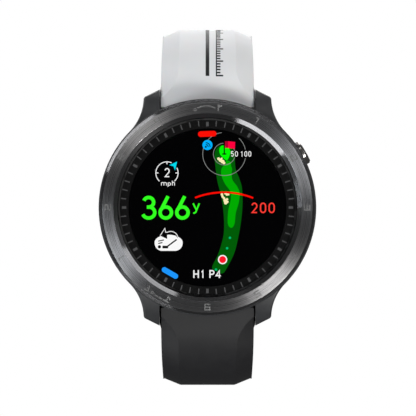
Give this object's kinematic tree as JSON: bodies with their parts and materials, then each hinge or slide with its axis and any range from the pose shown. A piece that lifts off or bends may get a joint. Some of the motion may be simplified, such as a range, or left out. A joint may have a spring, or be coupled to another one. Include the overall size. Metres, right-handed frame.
{
  "type": "golf gps watch",
  "caption": "Round sports watch with a brushed metal bezel marked in numerals, black display, one side button and a two-part silicone strap with a pin buckle.",
  "frame": {"origin": "centre of the rear cover's flat outer face, on the case's axis", "axes": "+Z towards 12 o'clock, +X towards 3 o'clock as the wearer reads it, +Y out of the back of the watch towards the wrist"},
  "size_m": [0.046, 0.0928, 0.0756],
  "materials": {
    "bezel_steel": "circular brush, polished chamfers, dark coating",
    "case_polymer": "fine blasted texture",
    "crystal": "polished, coated",
    "dial_black": "satin print",
    "dial_print": "grey print",
    "display_black": "unlit panel",
    "flex_film": "amber film",
    "frame_plastic": "glass filled nylon",
    "board_green": "solder mask",
    "chip_black": "moulded epoxy",
    "tin_plate": "tinned",
    "antenna_ceramic": "fired, silvered top",
    "screw_steel": "turned",
    "cell_wrap": "laminate pouch",
    "foam": "closed cell foam",
    "motor_brass": "turned",
    "button_steel": "polished",
    "seal_rubber": "moulded",
    "spring_wire": "drawn wire",
    "switch_white": "moulded",
    "cover_polymer": "fine texture",
    "gold_plate": "gold plated",
    "vent_film": "woven membrane",
    "strap_white": "soft silicone, satin",
    "strap_black": "soft silicone, satin",
    "buckle_steel": "brushed, dark coating"
  },
  "bodies": {
    "case": {"battery": "cell_wrap", "battery_connector": "chip_black", "battery_pad": "foam", "bezel_gasket": "seal_rubber", "bezel_ring": "bezel_steel", "board_parts": "chip_black", "board_screws": "screw_steel", "button_spring": "spring_wire", "case_body": "case_polymer", "charging_contacts": "gold_plate", "contact_carrier": "cover_polymer", "cover_glass": "crystal", "display_flex": "flex_film", "display_panel": "display_black", "glass_adhesive": "seal_rubber", "gps_antenna": "antenna_ceramic", "inner_frame": "frame_plastic", "main_board": "board_green", "minute_marks": "dial_print", "minute_ring": "dial_black", "motor_can": "tin_plate", "motor_shaft": "motor_brass", "rear_cover": "cover_polymer", "rear_gasket": "seal_rubber", "rear_screws": "screw_steel", "shield_can": "tin_plate", "switch_body": "switch_white", "vent_membrane": "vent_film"},
    "side_button": {"side_button": "button_steel", "button_seals": "seal_rubber", "button_clip": "screw_steel"},
    "switch_plunger": {"switch_plunger": "switch_white"},
    "motor_rotor": {"motor_rotor": "motor_brass"},
    "upper_strap": {"upper_strap": "strap_white", "upper_bar_tube": "screw_steel", "fixed_keeper": "strap_white", "upper_bar_spring": "spring_wire"},
    "upper_lever": {"upper_release_lever": "screw_steel"},
    "free_keeper": {"free_keeper": "strap_white"},
    "buckle": {"buckle_frame": "buckle_steel", "buckle_pin": "buckle_steel"},
    "tongue": {"buckle_tongue": "buckle_steel"},
    "lower_strap": {"lower_strap": "strap_black", "lower_bar_tube": "screw_steel", "lower_bar_spring": "spring_wire"},
    "lower_lever": {"lower_release_lever": "screw_steel"}
  },
  "joints": [
    {"name": "side_button_press", "type": "slide", "parent": "case", "child": "side_button", "axis": [-0.866, 0, -0.5], "range_m": [0, 0.00045], "stiffness_N_per_m": 1500, "springref_m": -0.0008, "deforming": ["button_spring"]},
    {"name": "switch_plunger_travel", "type": "slide", "parent": "case", "child": "switch_plunger", "axis": [-0.866, 0, -0.5], "range_m": [0, 0.00045]},
    {"name": "motor_rotor_spin", "type": "hinge", "parent": "case", "child": "motor_rotor", "pos_m": [0.0112, -0.00285, 0], "axis": [0, -1, 0], "continuous": true},
    {"name": "upper_strap_swing", "type": "hinge", "parent": "case", "child": "upper_strap", "pos_m": [0, -0.0039, 0.0224], "axis": [1, 0, 0], "range_deg": [-15, 25]},
    {"name": "upper_release_slide", "type": "slide", "parent": "upper_strap", "child": "upper_lever", "axis": [1, 0, 0], "range_m": [0, 0.0013], "stiffness_N_per_m": 600, "springref_m": -0.001, "deforming": ["upper_bar_spring"]},
    {"name": "free_keeper_slide", "type": "hinge", "parent": "upper_strap", "child": "free_keeper", "pos_m": [0, 0.0102, -0.02422], "axis": [1, 0, 0], "range_deg": [-1.5, 12]},
    {"name": "buckle_swing", "type": "hinge", "parent": "upper_strap", "child": "buckle", "pos_m": [0, 0.05121, 0.02053], "axis": [1, 0, 0], "range_deg": [-40, 35]},
    {"name": "tongue_swing", "type": "hinge", "parent": "buckle", "child": "tongue", "pos_m": [0, 0.05121, 0.02053], "axis": [1, 0, 0], "range_deg": [0, 70]},
    {"name": "lower_strap_swing", "type": "hinge", "parent": "case", "child": "lower_strap", "pos_m": [0, -0.0039, -0.0224], "axis": [-1, 0, 0], "range_deg": [-8, 25]},
    {"name": "lower_release_slide", "type": "slide", "parent": "lower_strap", "child": "lower_lever", "axis": [1, 0, 0], "range_m": [0, 0.0013], "stiffness_N_per_m": 600, "springref_m": -0.001, "deforming": ["lower_bar_spring"]}
  ],
  "couplings": [
    {"joint": "switch_plunger_travel", "follows": "side_button_press", "ratio": 1}
  ]
}
